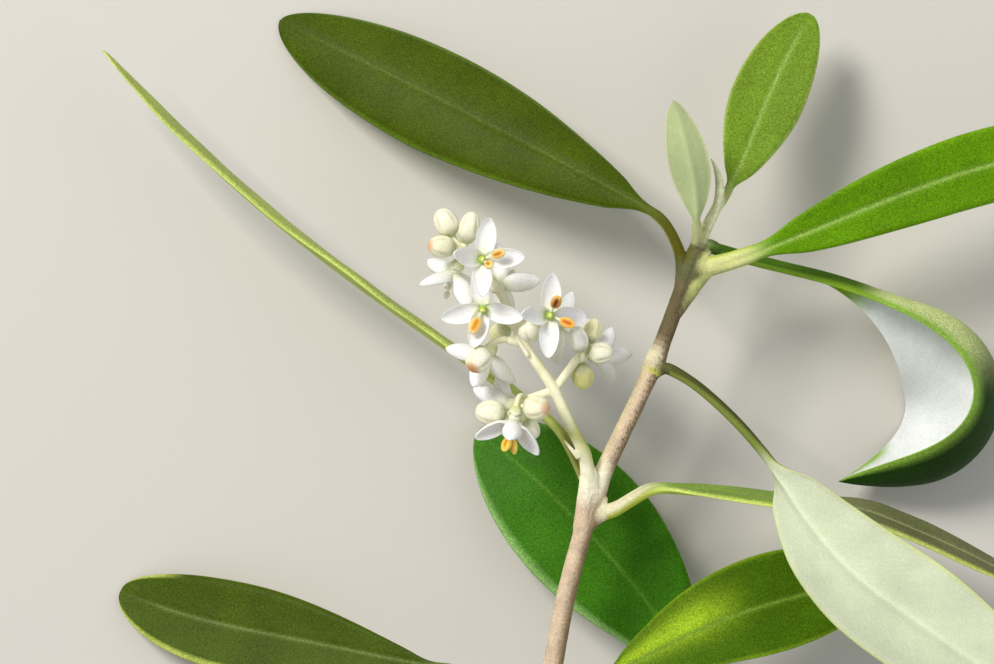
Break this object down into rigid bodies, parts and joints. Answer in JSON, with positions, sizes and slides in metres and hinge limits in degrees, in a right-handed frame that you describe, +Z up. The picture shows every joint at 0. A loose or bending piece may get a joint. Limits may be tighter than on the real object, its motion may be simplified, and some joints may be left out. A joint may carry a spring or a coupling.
{
  "type": "flowering olive sprig",
  "caption": "Cut olive shoot lying down, with long narrow leaves, one deeply curled leaf, and a side cluster of white four-petalled flowers and round cream buds.",
  "frame": {"origin": "centre of the sprig's bounding box in plan, on the surface that it lies on", "axes": "+Z up from the surface, +Y roughly along the stem from its cut end to the shoot's tip, +X to the right as seen from above"},
  "size_m": [0.1084, 0.0702, 0.0255],
  "materials": {
    "bark": "matte",
    "leaf": "satin",
    "stalk": "matte",
    "petal": "satin",
    "bud": "satin",
    "stamen": "matte"
  },
  "bodies": {
    "root": {"stem": "bark", "leaf_upper_left": "leaf", "leaf_upper_right": "leaf", "leaf_curled": "leaf", "leaf_tip_pale": "leaf", "leaf_tip_green": "leaf", "leaf_middle_pale": "leaf", "leaf_flowering_left": "leaf", "leaf_flowering_right": "leaf", "leaf_low_left": "leaf", "leaf_low_right": "leaf", "leaf_under": "leaf", "flower_stalk": "stalk", "flower_top_corolla": "petal", "flower_top_stamens": "stamen", "flower_top_left_corolla": "petal", "flower_top_left_stamens": "stamen", "flower_top_behind_corolla": "petal", "flower_top_behind_stamens": "stamen", "flower_third_corolla": "petal", "flower_third_stamens": "stamen", "flower_right_corolla": "petal", "flower_right_stamens": "stamen", "flower_right_behind_corolla": "petal", "flower_right_behind_stamens": "stamen", "flower_left_corolla": "petal", "flower_left_stamens": "stamen", "flower_low_corolla": "petal", "flower_low_stamens": "stamen", "flower_low_behind_corolla": "petal", "flower_low_behind_stamens": "stamen", "flower_far_right_corolla": "petal", "flower_far_right_stamens": "stamen", "bud_end_left": "bud", "bud_end_right": "bud", "bud_end_low": "bud", "bud_second_right": "bud", "bud_left_front": "bud", "bud_left_back": "bud", "bud_low_right": "bud", "bud_low_left": "bud", "bud_low_front": "bud", "bud_far_top_left": "bud", "bud_far_top_right": "bud", "bud_far_right": "bud", "bud_far_low": "bud"}
  },
  "joints": []
}
